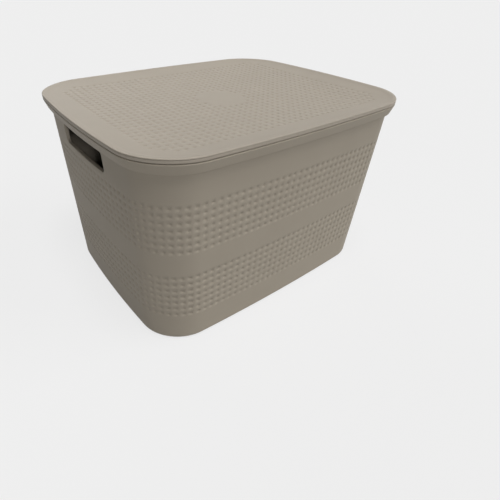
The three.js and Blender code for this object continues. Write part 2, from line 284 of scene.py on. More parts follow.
# %% [markdown]
# Real edges are never sharp, because the mould's steel isn't, so every fold gets a small round. A
# bevel modifier would do it too, but it would also cut into the dimples. Here the rings themselves
# are set close together round each fold.

# %% Rounded folds and edges
FOLD_REACH = 0.8
FOLD_SHARE = 0.45
FOLD_POINTS = 4
EDGE_POINTS = 5
FILLET_POINTS = 7


def soften(rings, reach=FOLD_REACH):
    """The same row of rings, with a small round in place of each fold between the first and last."""
    softened = [rings[0]]
    for before, fold, after in zip(rings, rings[1:], rings[2:]):
        lengths = [np.linalg.norm(side - fold, axis=1)[:, None] for side in (before, after)]
        shortest = min(length.min() for length in lengths)
        step = min(reach, FOLD_SHARE * shortest)
        start = fold + (before - fold) / lengths[0] * step
        end = fold + (after - fold) / lengths[1] * step
        for share in np.linspace(0, 1, FOLD_POINTS):
            to_fold = (1 - share) ** 2 * start + 2 * share * (1 - share) * fold
            softened.append(to_fold + share ** 2 * end)
    return [*softened, rings[-1]]


def quarter_round(radius, count):
    """How far each point of a round on a square edge lies from the edge's two faces."""
    turns = np.linspace(0, math.pi / 2, count)
    return [(radius * (1 - math.sin(turn)), radius * (1 - math.cos(turn))) for turn in turns]


print("points round a fold, an edge and a fillet:", FOLD_POINTS, EDGE_POINTS, FILLET_POINTS)

# %% Joining the patches
WELD_DISTANCE = 0.01


def join_body(name, patches):
    """One closed, smooth object from patches whose borders coincide."""
    points = np.vstack([patch[0] for patch in patches]) * METRES
    faces = []
    start = 0
    for patch_points, patch_faces in patches:
        faces.extend(tuple(start + corner for corner in face) for face in patch_faces)
        start += len(patch_points)
    mesh = bpy.data.meshes.new(name)
    mesh.from_pydata(points.tolist(), [], faces)
    work = bmesh.new()
    work.from_mesh(mesh)
    bmesh.ops.remove_doubles(work, verts=work.verts, dist=WELD_DISTANCE * METRES)
    bmesh.ops.recalc_face_normals(work, faces=work.faces)
    open_edges = sum(not edge.is_manifold for edge in work.edges)
    triangles = sum(len(face.verts) - 2 for face in work.faces)
    work.to_mesh(mesh)
    work.free()
    mesh.shade_smooth()
    body = bpy.data.objects.new(name, mesh)
    bpy.context.scene.collection.objects.link(body)
    print(name, "triangles:", triangles, "open edges:", open_edges)
    return body


print("points less than", WELD_DISTANCE, "mm apart become one")

# %% [markdown]
# The plastic is polypropylene, coloured right through and moulded against fine spark-eroded steel.
# To the eye that is an even taupe with a broad soft sheen, clouds of slightly lighter and darker
# tone where the plastic flowed, and a grain too fine to see from a step away. The grain is drawn
# about three times as coarse as the real one, so that it shows as a faint tooth in the sheen. Image
# textures could carry it all, but they need a UV map and blur close up. Noise needs neither a map nor
# a picture, and its scale is worked out from a real width.

# %% One small helper for every node
def add_node(tree, kind, links=None, **settings):
    """Adds a node, sets its properties, and fills its inputs with values or other nodes' outputs."""
    node = tree.nodes.new(kind)
    for name, value in settings.items():
        setattr(node, name, value)
    for socket, value in (links or {}).items():
        if isinstance(value, bpy.types.NodeSocket):
            tree.links.new(value, node.inputs[socket])
        else:
            node.inputs[socket].default_value = value
    return node


def linear(srgb_hex):
    """Linear colour with full alpha from an sRGB hex colour."""
    channels = [int(srgb_hex[place:place + 2], 16) / 255 for place in (1, 3, 5)]
    return (*[c / 12.92 if c <= 0.04045 else ((c + 0.055) / 1.055) ** 2.4 for c in channels], 1)


print("middle grey is written #808080, and in linear light it is", round(linear("#808080")[0], 3))

# %% Moulded polypropylene
GRAIN_WIDTH = 0.9
GRAIN_DEPTH = 0.03
GRAIN_STRENGTH = 0.5
SHEEN_PATCH_WIDTH = 14
FINE_DETAIL = 2
CLOUD_WIDTH = 70
CLOUD_DETAIL = 3
CLOUD_ROUGHNESS = 0.6
POLYPROPYLENE_IOR = 1.49


def moulded_polypropylene(name, tones, roughness_range, specular):
    """Matte polypropylene as it leaves an eroded mould. Patterns follow the object's own places."""
    material = bpy.data.materials.new(name)
    material.use_nodes = True
    tree = material.node_tree
    tree.nodes.clear()
    place = add_node(tree, "ShaderNodeTexCoord").outputs["Object"]
    cloud = add_node(tree, "ShaderNodeTexNoise", {
        "Vector": place, "Scale": 1 / (CLOUD_WIDTH * METRES),
        "Detail": CLOUD_DETAIL, "Roughness": CLOUD_ROUGHNESS})
    tone = add_node(tree, "ShaderNodeMix", {
        "Factor": cloud.outputs["Fac"], "A": linear(tones[0]), "B": linear(tones[1])}, data_type="RGBA")
    sheen_patch = add_node(tree, "ShaderNodeTexNoise", {
        "Vector": place, "Scale": 1 / (SHEEN_PATCH_WIDTH * METRES), "Detail": FINE_DETAIL})
    roughness = add_node(tree, "ShaderNodeMapRange", {
        "Value": sheen_patch.outputs["Fac"],
        "To Min": roughness_range[0], "To Max": roughness_range[1]})
    grain = add_node(tree, "ShaderNodeTexNoise", {
        "Vector": place, "Scale": 1 / (GRAIN_WIDTH * METRES), "Detail": FINE_DETAIL})
    tooth = add_node(tree, "ShaderNodeBump", {
        "Height": grain.outputs["Fac"], "Strength": GRAIN_STRENGTH, "Distance": GRAIN_DEPTH * METRES})
    surface = add_node(tree, "ShaderNodeBsdfPrincipled", {
        "Base Color": tone.outputs["Result"], "Roughness": roughness.outputs["Result"],
        "Normal": tooth.outputs["Normal"], "IOR": POLYPROPYLENE_IOR, "Metallic": 0,
        "Specular IOR Level": specular})
    add_node(tree, "ShaderNodeOutputMaterial", {"Surface": surface.outputs["BSDF"]})
    return material


tub_plastic = moulded_polypropylene(
    "tub polypropylene", tones=("#a39a8c", "#a9a092"), roughness_range=(0.52, 0.6), specular=0.12)
lid_plastic = moulded_polypropylene(
    "lid polypropylene", tones=("#a1988b", "#a89f92"), roughness_range=(0.5, 0.58), specular=0.3)
divider_plastic = moulded_polypropylene(
    "divider polypropylene", tones=("#a1988b", "#a89f92"), roughness_range=(0.52, 0.6), specular=0.25)
print("materials:", [material.name for material in (tub_plastic, lid_plastic, divider_plastic)])

# %% [markdown]
# The dimples are shallow round hollows, 6.4 mm wide and 1.2 mm deep, in even rows. They are cut into
# the mould, so they are part of the skin and not little things laid on it. One way is to push a fine
# grid in with a texture, but that needs millions of faces for clean edges. Here one dimple is a tile
# of a few dozen faces, a Geometry Nodes tree lays tiles out as a flat sheet, and the sheet is then
# bent onto the wall or the lid. Plain tiles fill the middle of a sheet where it stays bare.

# %% The two tiles
# Each ring of a dimple has a radius, a depth and a number of points. The middle point is deepest.
DIMPLE_RINGS = ((3.2, 0, 12), (2.6, 0.5, 12), (1.4, 1, 6))
DIMPLE_DEPTH = 1.2
BORDER_PLACES = ((1, 0), (1, 1), (0, 1), (-1, 1), (-1, 0), (-1, -1), (0, -1), (1, -1))


def ring_shares(count):
    """Shares of a turn at which a ring of so many points has them."""
    return np.arange(count) / count


def tile(name, width, height, hollow_rings, middle_depth):
    """Tile centred on the origin, from its border through the rings of its hollow to the middle."""
    rings = [np.array([(x * width / 2, y * height / 2, 0) for x, y in BORDER_PLACES])]
    for radius, depth, count in hollow_rings:
        angle = ring_shares(count) * 2 * math.pi
        round_points = (radius * np.cos(angle), radius * np.sin(angle), np.full(count, -depth))
        rings.append(np.column_stack(round_points))
    faces = []
    start = 0
    for outer, inner in zip(rings, rings[1:]):
        _, between = zip_rings(outer, ring_shares(len(outer)), inner, ring_shares(len(inner)))
        faces.extend(tuple(start + corner for corner in face) for face in between)
        start += len(outer)
    count = len(rings[-1])
    middle = start + count
    faces.extend((start + side, start + (side + 1) % count, middle) for side in range(count))
    mesh = bpy.data.meshes.new(name)
    mesh.from_pydata(np.vstack([*rings, (0, 0, -middle_depth)]).tolist(), [], faces)
    shape = bpy.data.objects.new(name, mesh)
    bpy.context.scene.collection.objects.link(shape)
    return shape


print("a dimple is", 2 * DIMPLE_RINGS[0][0], "mm wide and", DIMPLE_DEPTH, "mm deep")

# %% The places on a sheet, and which of them get a dimple
SHEET_INPUTS = {
    "Columns": "Int", "Rows": "Int", "Column Pitch": "Float", "Row Pitch": "Float",
    "Bare Radius": "Float", "Corner Cut": "Float", "Dimple": "Object", "Plain": "Object",
    "Material": "Material",
}


def sheet_grid(tree, given):
    """Points of the sheet's grid, with the grid's size and pitch as vectors."""
    pitch = add_node(tree, "ShaderNodeCombineXYZ", {
        "X": given["Column Pitch"], "Y": given["Row Pitch"], "Z": 1})
    counts = add_node(tree, "ShaderNodeCombineXYZ", {"X": given["Columns"], "Y": given["Rows"], "Z": 1})
    gaps = add_node(tree, "ShaderNodeVectorMath", {
        0: counts.outputs[0], 1: (1, 1, 1)}, operation="SUBTRACT")
    size = add_node(tree, "ShaderNodeVectorMath", {
        0: gaps.outputs[0], 1: pitch.outputs[0]}, operation="MULTIPLY")
    sides = add_node(tree, "ShaderNodeSeparateXYZ", {0: size.outputs[0]})
    grid = add_node(tree, "GeometryNodeMeshGrid", {
        "Size X": sides.outputs["X"], "Size Y": sides.outputs["Y"],
        "Vertices X": given["Columns"], "Vertices Y": given["Rows"]})
    return grid.outputs["Mesh"], size.outputs[0], pitch.outputs[0]


def tile_choices(tree, given, size, pitch):
    """Whether a place gets a dimple, and whether it gets a plain tile.

    A place counts as cut where its steps from the nearest corner, along and across, add up to less
    than the cut. It gets neither, unless the bare radius reaches it.
    """
    place = add_node(tree, "GeometryNodeInputPosition").outputs[0]
    away = add_node(tree, "ShaderNodeVectorMath", {0: place}, operation="LENGTH")
    bare = add_node(tree, "FunctionNodeCompare", {
        "A": away.outputs["Value"], "B": given["Bare Radius"]}, operation="LESS_THAN")
    half = add_node(tree, "ShaderNodeVectorMath", {0: size, "Scale": 0.5}, operation="SCALE")
    mirrored = add_node(tree, "ShaderNodeVectorMath", {0: place}, operation="ABSOLUTE")
    from_corner = add_node(tree, "ShaderNodeVectorMath", {
        0: half.outputs[0], 1: mirrored.outputs[0]}, operation="SUBTRACT")
    in_steps = add_node(tree, "ShaderNodeVectorMath", {
        0: from_corner.outputs[0], 1: pitch}, operation="DIVIDE")
    steps = add_node(tree, "ShaderNodeVectorMath", {
        0: in_steps.outputs[0], 1: (1, 1, 0)}, operation="DOT_PRODUCT")
    cut = add_node(tree, "FunctionNodeCompare", {
        "A": steps.outputs["Value"], "B": given["Corner Cut"]}, operation="LESS_THAN")
    undimpled = add_node(tree, "FunctionNodeBooleanMath", {
        0: bare.outputs[0], 1: cut.outputs[0]}, operation="OR")
    dimpled = add_node(tree, "FunctionNodeBooleanMath", {0: undimpled.outputs[0]}, operation="NOT")
    return dimpled.outputs[0], bare.outputs[0]


print("inputs of a sheet:", ", ".join(SHEET_INPUTS))


# %% The tree that lays out a sheet of dimples
def sheet_tree():
    """Tiles on a grid: plain ones inside the bare radius, and none in the cut corners."""
    tree = bpy.data.node_groups.new("sheet of dimples", "GeometryNodeTree")
    for name, kind in SHEET_INPUTS.items():
        tree.interface.new_socket(name, in_out="INPUT", socket_type="NodeSocket" + kind)
    tree.interface.new_socket("Sheet", in_out="OUTPUT", socket_type="NodeSocketGeometry")
    given = add_node(tree, "NodeGroupInput").outputs
    grid, size, pitch = sheet_grid(tree, given)
    dimpled, bare = tile_choices(tree, given, size, pitch)
    join = add_node(tree, "GeometryNodeJoinGeometry")
    for shape, chosen in (("Dimple", dimpled), ("Plain", bare)):
        info = add_node(tree, "GeometryNodeObjectInfo", {"Object": given[shape]})
        laid = add_node(tree, "GeometryNodeInstanceOnPoints", {
            "Points": grid, "Selection": chosen, "Instance": info.outputs["Geometry"]})
        tree.links.new(laid.outputs["Instances"], join.inputs["Geometry"])
    real = add_node(tree, "GeometryNodeRealizeInstances", {"Geometry": join.outputs["Geometry"]})
    welded = add_node(tree, "GeometryNodeMergeByDistance", {
        "Geometry": real.outputs["Geometry"], "Distance": WELD_DISTANCE})
    dressed = add_node(tree, "GeometryNodeSetMaterial", {
        "Geometry": welded.outputs["Geometry"], "Material": given["Material"]})
    add_node(tree, "NodeGroupOutput", {"Sheet": dressed.outputs["Geometry"]})
    return tree


SHEET_TREE = sheet_tree()
print("nodes in the sheet tree:", len(SHEET_TREE.nodes))

# %% [markdown]
# A modifier with this tree grows a sheet. Its inputs are set before Blender works it out for the
# first time. Then its points and faces are read from the result and the modifier's object is
# deleted, so that no modifier is left on a finished piece.

# %% Growing one flat sheet
def flat_sheet(columns, rows, column_pitch, row_pitch, material, bare_radius=0, corner_cut=0):
    """Points and faces of a flat sheet of dimples, in millimetres, centred on the origin."""
    dimple = tile("dimple", column_pitch, row_pitch, DIMPLE_RINGS, DIMPLE_DEPTH)
    plain = tile("plain", column_pitch, row_pitch, (), 0)
    values = {
        "Columns": columns, "Rows": rows, "Column Pitch": column_pitch, "Row Pitch": row_pitch,
        "Bare Radius": float(bare_radius), "Corner Cut": float(corner_cut),
        "Dimple": dimple, "Plain": plain, "Material": material,
    }
    carrier = bpy.data.objects.new("sheet", bpy.data.meshes.new("sheet"))
    bpy.context.scene.collection.objects.link(carrier)
    modifier = carrier.modifiers.new("sheet", "NODES")
    modifier.node_group = SHEET_TREE
    for socket in SHEET_TREE.interface.items_tree:
        if socket.in_out == "INPUT":
            modifier[socket.identifier] = values[socket.name]
    evaluated = carrier.evaluated_get(bpy.context.evaluated_depsgraph_get())
    mesh = bpy.data.meshes.new_from_object(evaluated)
    points = np.array([vertex.co for vertex in mesh.vertices])
    faces = [tuple(face.vertices) for face in mesh.polygons]
    for used in (carrier, dimple, plain):
        bpy.data.objects.remove(used)
    bpy.data.meshes.remove(mesh)
    print("sheet of", columns, "by", rows, "tiles:", len(faces), "faces")
    return points, faces


# %% [markdown]
# The tub has two bands of seven rows, all the way round. Dimples set on a finished wall one by one
# would be separate pieces that only touch it. So a whole sheet becomes a stretch of the wall, by
# reading its first direction as a share of the way round, its second as a height and its third as a
# depth.

# %% Bands of dimples on the tub
BAND_ROWS = 7
SMOOTH_ROWS = 3
ROW_PITCH = 11.64
UPPER_BAND_TOP_Z = 245
UPPER_BAND_FOOT_Z = UPPER_BAND_TOP_Z - BAND_ROWS * ROW_PITCH
LOWER_BAND_TOP_Z = UPPER_BAND_FOOT_Z - SMOOTH_ROWS * ROW_PITCH
LOWER_BAND_FOOT_Z = LOWER_BAND_TOP_Z - BAND_ROWS * ROW_PITCH


def dimple_band(foot_z, top_z):
    """A sheet of dimples bent onto the wall between two heights."""
    middle_z = (foot_z + top_z) / 2
    around = length_round(middle_z)
    pitch = around / COLUMNS_ROUND
    points, faces = flat_sheet(COLUMNS_ROUND, BAND_ROWS, pitch, ROW_PITCH, tub_plastic)
    return wall_point(0.5 + points[:, 0] / around, middle_z + points[:, 1], -points[:, 2]), faces


bands = [
    dimple_band(LOWER_BAND_FOOT_Z, LOWER_BAND_TOP_Z),
    dimple_band(UPPER_BAND_FOOT_Z, UPPER_BAND_TOP_Z),
]

# %% [markdown]
# Each end wall has an opening for the fingers. A real mould forms it with a sliding core, which
# leaves a smooth tunnel with a lip inside and rounded edges. A boolean cut would leave sharp edges
# and long thin faces. Instead the wall round the opening is filled with triangles between two loops
# of points, and the tunnel is a row of rings that starts and ends on those loops.

# %% Outline of a handle opening
HANDLE_EDGE = 1
HANDLE_LONG_STEPS = 24
HANDLE_SHORT_STEPS = 4
END_FIRST_SHARE = 0.15
END_LAST_SHARE = 0.35
END_SAMPLES = 401
END_SHARES = np.linspace(END_FIRST_SHARE, END_LAST_SHARE, END_SAMPLES)


def handle_loop(margin):
    """Points in Y and Z round the opening, grown by a margin. Their number is always the same."""
    half = HANDLE_WIDTH / 2 + margin
    lower = HANDLE_LOWER_RADIUS + margin
    upper = HANDLE_UPPER_RADIUS + margin
    lower_z = HANDLE_BOTTOM_Z - margin + lower
    upper_z = HANDLE_TOP_Z + margin - upper
    corners = [(half - lower, lower_z, lower), (half - upper, upper_z, upper),
               (upper - half, upper_z, upper), (lower - half, lower_z, lower)]
    arcs = [corner_arc(quarter, *corner, FILLET_POINTS) for quarter, corner in enumerate(corners)]
    loop = []
    for quarter, arc in enumerate(arcs):
        steps = HANDLE_LONG_STEPS if quarter % 2 else HANDLE_SHORT_STEPS
        straight = np.linspace(arc[-1], arcs[(quarter + 1) % 4][0], steps + 1)[1:-1]
        loop.extend([*arc, *straight])
    return np.array(loop)


def end_wall_x(y, z, inset=0):
    """X of the end wall at a place seen from the end, with the wall's face moved in by an inset."""
    line = wall_point(END_SHARES, z, inset)
    return np.interp(y, line[:, 1], line[:, 0])


def opening_ring(margin, inset):
    """Ring round the opening that follows the curve of the wall."""
    return np.array([(end_wall_x(y, z, inset), y, z) for y, z in handle_loop(margin)])


def tunnel_ring(margin, x):
    """Ring round the opening in a flat plane across the tunnel."""
    return np.array([(x, y, z) for y, z in handle_loop(margin)])


print("points round a handle opening:", len(handle_loop(0)))


# %% The tunnel and its lip
def handle_tunnel():
    """Rings from the outer face, through the opening, round the lip and back to the inner face."""
    rings = [opening_ring(margin, inset) for margin, inset in quarter_round(HANDLE_EDGE, FOLD_POINTS)]
    tip = HANDLE_LIP_WALL / 2
    middle_z = (HANDLE_TOP_Z + HANDLE_BOTTOM_Z) / 2
    tip_x = end_wall_x(0, middle_z) - HANDLE_LIP_DEPTH + tip
    for turn in np.linspace(0, math.pi, FILLET_POINTS):
        rings.append(tunnel_ring(tip * (1 - math.cos(turn)), tip_x - tip * math.sin(turn)))
    for turn in np.linspace(0, math.pi / 2, FOLD_POINTS):
        margin = HANDLE_LIP_WALL + HANDLE_EDGE - HANDLE_EDGE * math.cos(turn)
        inset = WALL_THICKNESS + HANDLE_EDGE - HANDLE_EDGE * math.sin(turn)
        rings.append(opening_ring(margin, inset))
    return loft(rings)


tunnel = handle_tunnel()
print("faces of a tunnel:", len(tunnel[1]))

# %% Filling the wall round an opening
SLIVER_AREA = 0.01
MEETING_DISTANCE = 1e-6
WHOLE_HULL = 0


def round_trip(first, count):
    """Edges of a loop of points that are numbered from first."""
    return [(first + side, first + (side + 1) % count) for side in range(count)]


def filled(flat, edges, is_hole):
    """Triangles over flat points that keep the edges, without those in a hole and without slivers."""
    points = [Vector(point) for point in flat]
    _, _, faces, origins, _, _ = delaunay_2d_cdt(points, edges, [], WHOLE_HULL, MEETING_DISTANCE)
    triangles = []
    for face in faces:
        corners = [origins[corner][0] for corner in face]
        a, b, c = flat[corners]
        area = abs((b[0] - a[0]) * (c[1] - a[1]) - (b[1] - a[1]) * (c[0] - a[0])) / 2
        if area > SLIVER_AREA and not is_hole(corners, (a + b + c) / 3):
            triangles.append(tuple(corners))
    return triangles


square = np.array([(0, 0), (1, 0), (1, 1), (0, 1)])
print("triangles that fill a square:", len(filled(square, round_trip(0, 4), lambda *_: False)))

# %% The wall round an opening
GRID_CLEARANCE = 4
ZONE_BELOW_SKIRT = 1
HANDLE_ZONE_TOP_Z = SKIRT_FOOT_Z - ZONE_BELOW_SKIRT
HANDLE_SPAN = 18
END_MIDDLE = RING_POINTS // 4


def pierced_wall(foot_z, top_z, inset, margin, side_heights=()):
    """The end wall round the opening, between two heights."""
    shares = RING_SHARES[END_MIDDLE - HANDLE_SPAN:END_MIDDLE + HANDLE_SPAN + 1]
    border = [(share, foot_z) for share in shares]
    border += [(shares[-1], height) for height in side_heights]
    border += [(share, top_z) for share in shares[::-1]]
    border += [(shares[0], height) for height in reversed(side_heights)]
    heights = np.arange(foot_z, top_z, ROW_PITCH / 2)[1:]
    inside = np.array([(share, height) for share in shares[1:-1] for height in heights])
    grid = wall_point(inside[:, 0], inside[:, 1], inset)
    reach = margin + GRID_CLEARANCE
    clear = (abs(grid[:, 1]) > HANDLE_WIDTH / 2 + reach) | (grid[:, 2] < HANDLE_BOTTOM_Z - reach)
    clear |= grid[:, 2] > HANDLE_TOP_Z + reach
    clear &= grid[:, 2] < top_z - GRID_CLEARANCE / 2
    hole = opening_ring(margin, inset)
    rim = wall_point(*np.array(border).T, inset)
    points = np.vstack([rim, hole, grid[clear]])
    on_hole = set(range(len(rim), len(rim) + len(hole)))
    edges = round_trip(0, len(rim)) + round_trip(len(rim), len(hole))
    return points, filled(points[:, 1:], edges, lambda corners, middle: set(corners) <= on_hole)


def both_ends(patch):
    """The patch at the +X end and the same patch turned half round to the -X end."""
    points, faces = patch
    return [patch, (points * (-1, -1, 1), faces)]


outer_patch = pierced_wall(UPPER_BAND_TOP_Z, HANDLE_ZONE_TOP_Z, 0, HANDLE_EDGE)
print("triangles round an opening:", len(outer_patch[1]))

# %% [markdown]
# The rim turns over at the top and comes down outside as a skirt, which hides a groove behind it.
# Inside, a ledge takes the lid. A curve with a bevel profile could make the rim alone, but not in one
# skin with the wall. All of it follows the outline, so it is a row of rings whose folds are softened.
# The foot is a low ring under the edge of the floor, and the floor inside it is raised.

# %% The foot and the rim
WALL_SUPPORT = 3
SKIRT_FOOT_ROUND = 2
INNER_BELOW_LEDGE = 3
INNER_TOP_Z = LEDGE_Z - INNER_BELOW_LEDGE


def foot_rings():
    """Rings from the raised floor, under the foot and round its edge, up to the lower dimples."""
    recess = FOOT_EDGE_RADIUS + FOOT_RING_WIDTH
    rings = soften([
        wall_ring(-recess, FOOT_RECESS),
        wall_ring(-recess, 0),
        wall_ring(-FOOT_EDGE_RADIUS, 0),
    ])
    for inset, height in quarter_round(FOOT_EDGE_RADIUS, FILLET_POINTS)[1:]:
        rings.append(wall_ring(-inset, height))
    return [*rings, wall_ring(0, FOOT_EDGE_RADIUS + WALL_SUPPORT), wall_ring(0, LOWER_BAND_FOOT_Z)]


def skirt_outset(height):
    """How far the skirt's outer face stands out from the rim's outline. It leans outward."""
    foot_inset = NECK_INSET - LEDGE_WIDTH - SKIRT_GROOVE - SKIRT_THICKNESS
    share = (height - SKIRT_FOOT_Z) / (SKIRT_TOP_Z - SKIRT_FOOT_Z)
    return -foot_inset + (RIM_OVERHANG + foot_inset) * share


def skirt_foot_rings():
    """Quarter round from the inner edge of the skirt's foot to its outer face."""
    middle_z = SKIRT_FOOT_Z + SKIRT_FOOT_ROUND
    middle = skirt_outset(middle_z) - SKIRT_FOOT_ROUND
    rings = []
    for turn in np.linspace(0, math.pi / 2, EDGE_POINTS):
        outset = middle + SKIRT_FOOT_ROUND * math.sin(turn)
        rings.append(rim_ring(outset, middle_z - SKIRT_FOOT_ROUND * math.cos(turn)))
    return rings


def rim_rings():
    """Rings from the wall up the groove, down and round the skirt, over the rim and past the ledge."""
    return soften([
        wall_ring(0, HANDLE_ZONE_TOP_Z),
        wall_ring(0, LEDGE_Z - WALL_THICKNESS),
        wall_ring(LEDGE_WIDTH, LEDGE_Z),
        wall_ring(LEDGE_WIDTH, GROOVE_TOP_Z),
        rim_ring(skirt_outset(GROOVE_TOP_Z) - SKIRT_THICKNESS, GROOVE_TOP_Z),
        rim_ring(skirt_outset(SKIRT_FOOT_Z) - SKIRT_THICKNESS, SKIRT_FOOT_Z),
        *skirt_foot_rings(),
        rim_ring(RIM_OVERHANG, SKIRT_TOP_Z),
        rim_ring(RIM_OVERHANG - RIM_EDGE_ROUNDING, TUB_HEIGHT),
        wall_ring(0, TUB_HEIGHT),
        wall_ring(0, LEDGE_Z),
        wall_ring(-WALL_THICKNESS, LEDGE_Z),
        wall_ring(-WALL_THICKNESS, INNER_TOP_Z),
    ])


foot = foot_rings()
rim = rim_rings()
print("rings of the foot and of the rim:", len(foot), len(rim))

# %% [markdown]
# Inside, two slim ribs on each long wall hold the divider's ends. Thin boxes set against the wall
# would look alike, but would only touch it. So a rib is drawn as steps in the depth of the inner
# rings, and grows out of the wall as it does in a mould. Rings with ribs have more points than the
# others, and triangles zip the two kinds together under the ledge.

# %% Inner skin of the tub, with the divider's guide ribs
PATCH_BELOW_HANDLE = 12
INNER_PATCH_FOOT_Z = HANDLE_BOTTOM_Z - PATCH_BELOW_HANDLE
RIB_DRAFT = 0.15
RIB_EDGE = 0.3


def rib_stations():
    """Distances from the middle of the side wall, and whether the rib stands out there."""
    near = DIVIDER_THICKNESS / 2 + DIVIDER_FACE_CLEARANCE
    far = near + GUIDE_RIB_WIDTH
    return [(near - RIB_DRAFT, 0), (near, 1), (far, 1), (far + RIB_DRAFT, 0)]


def inner_ring(height, inset, rib_height=GUIDE_RIB_HEIGHT):
    """Shares and points of a ring on the inner wall, with ribs where they stand out past it."""
    around = length_round(height)
    stations = [(share, 0) for share in RING_SHARES]
    for distance, stands_out in rib_stations():
        for middle in (0, 0.5):
            stations.append((middle + distance / around, stands_out))
            stations.append(((middle - distance / around) % 1, stands_out))
    share, stands_out = np.array(sorted(stations)).T
    depth = np.maximum(inset, WALL_THICKNESS + rib_height * stands_out)
    return share, wall_point(share, height, depth)


def inner_skin():
    """Patches from the ledge down to the floor."""
    rings = [
        inner_ring(INNER_TOP_Z, WALL_THICKNESS, 0),
        inner_ring(GUIDE_TOP_Z, WALL_THICKNESS, 0),
        inner_ring(GUIDE_TOP_Z - RIB_EDGE, WALL_THICKNESS),
        inner_ring(INNER_PATCH_FOOT_Z, WALL_THICKNESS),
    ]
    shares = rings[0][0]
    first = np.searchsorted(shares, RING_SHARES[END_MIDDLE - HANDLE_SPAN])
    opposite = np.searchsorted(shares, RING_SHARES[END_MIDDLE - HANDLE_SPAN] + 0.5)
    skipped = {start + side for start in (first, opposite) for side in range(2 * HANDLE_SPAN)}
    top = zip_rings(wall_ring(-WALL_THICKNESS, INNER_TOP_Z), RING_SHARES, rings[0][1], shares)
    pierced = loft([points for _, points in rings], skipped)
    lower = [rings[-1][1]]
    for rise, inset in quarter_round(FLOOR_FILLET_RADIUS, FILLET_POINTS):
        lower.append(inner_ring(FLOOR_Z + rise, WALL_THICKNESS + inset)[1])
    patch = pierced_wall(INNER_PATCH_FOOT_Z, INNER_TOP_Z, WALL_THICKNESS, HANDLE_LIP_WALL + HANDLE_EDGE,
                         side_heights=(GUIDE_TOP_Z - RIB_EDGE, GUIDE_TOP_Z))
    return [top, pierced, *both_ends(patch), loft(lower), cap(lower[-1])]


inner_patches = inner_skin()
print("patches of the inner skin:", len(inner_patches))


# %% The whole tub
def make_tub():
    """The tub, whose end walls are left open where the patches round the handle openings go."""
    first_side = END_MIDDLE - HANDLE_SPAN
    skipped = {(first_side + side + turn) % RING_POINTS
               for side in range(2 * HANDLE_SPAN) for turn in (0, RING_POINTS // 2)}
    return join_body("tub_moulding", [
        cap(foot[0]),
        loft(foot),
        *bands,
        loft([wall_ring(0, LOWER_BAND_TOP_Z), wall_ring(0, UPPER_BAND_FOOT_Z)]),
        loft([wall_ring(0, UPPER_BAND_TOP_Z), wall_ring(0, HANDLE_ZONE_TOP_Z)], skipped),
        *both_ends(outer_patch),
        *both_ends(tunnel),
        loft(rim),
        *inner_patches,
    ])


tub = make_tub()

# %% [markdown]
# The lid's panel is dished: a flat round field in the middle, then a slope that grows steeper towards
# the edge. It carries 38 by 29 dimples, with three missing at each corner and none on the round
# field. A smooth margin lies between the dimples and the raised edge. Proportional editing could
# press a dish into a flat panel, but one formula gives all its parts and its underside the same dish.

# %% The dish
LID_COLUMNS = 38
LID_ROWS = 29
LID_COLUMN_PITCH = 11.6
LID_ROW_PITCH = 12
LID_CORNER_CUT = 1.5
LID_EDGE_LIFT = 2.2
LID_LIFT_POWER = 8
PANEL = grown(RIM, -LID_SLOPE_WIDTH)
PANEL_RING = trace(PANEL, RING_SHARES)
PANEL_LINE = trace(PANEL, LINE_SHARES)
PANEL_ANGLES = np.arctan2(PANEL_LINE[:, 1], PANEL_LINE[:, 0])
PANEL_REACHES = np.hypot(PANEL_LINE[:, 0], PANEL_LINE[:, 1])


def dish_share(x, y):
    """0 on the round field in the middle, and 1 at the panel's edge."""
    reach = np.interp(np.arctan2(y, x), PANEL_ANGLES, PANEL_REACHES, period=2 * math.pi)
    return np.clip((np.hypot(x, y) - LID_CENTRE_RADIUS) / (reach - LID_CENTRE_RADIUS), 0, None)


def dish_height(x, y):
    """Height of the panel's upper face. Close to the edge it lifts a little more."""
    share = dish_share(x, y)
    return LID_CENTRE_Z + LID_DISH_DEPTH * share ** 2 + LID_EDGE_LIFT * share ** LID_LIFT_POWER


def on_dish(x, y, drop=0):
    """Points on the panel, or lower by a drop."""
    return np.column_stack([x, y, dish_height(x, y) - drop])


print("panel's edge is at", dish_height(*PANEL_LINE[0]), "and its middle at", dish_height(0, 0))


# %% Dimpled field of the lid
def dimpled_field():
    """The sheet of dimples laid on the dish."""
    points, faces = flat_sheet(LID_COLUMNS, LID_ROWS, LID_COLUMN_PITCH, LID_ROW_PITCH, lid_plastic,
                               bare_radius=LID_CENTRE_RADIUS, corner_cut=LID_CORNER_CUT)
    return on_dish(points[:, 0], points[:, 1], -points[:, 2]), faces


field = dimpled_field()

# %% Smooth margin of the lid
MARGIN_CLEARANCE = 0.975
LATTICE_MARGIN = 3


def has_tile(x, y):
    """Whether the sheet has a tile over this place."""
    last_column = (LID_COLUMNS - 1) / 2
    last_row = (LID_ROWS - 1) / 2
    column = last_column - np.abs(np.round(x / LID_COLUMN_PITCH + last_column) - last_column)
    row = last_row - np.abs(np.round(y / LID_ROW_PITCH + last_row) - last_row)
    return (column >= 0) & (row >= 0) & (column + row >= LID_CORNER_CUT)


def border_edges(faces):
    """Edges that belong to one face only."""
    seen = {}
    for face in faces:
        for pair in zip(face, [*face[1:], face[0]]):
            key = tuple(sorted(pair))
            seen[key] = seen.get(key, 0) + 1
    return [pair for pair, count in seen.items() if count == 1]


def tile_borders(count, pitch):
    """Places of the borders between tiles along one direction, and of a few more at each end."""
    return (np.arange(-LATTICE_MARGIN, count + LATTICE_MARGIN + 1) - count / 2) * pitch


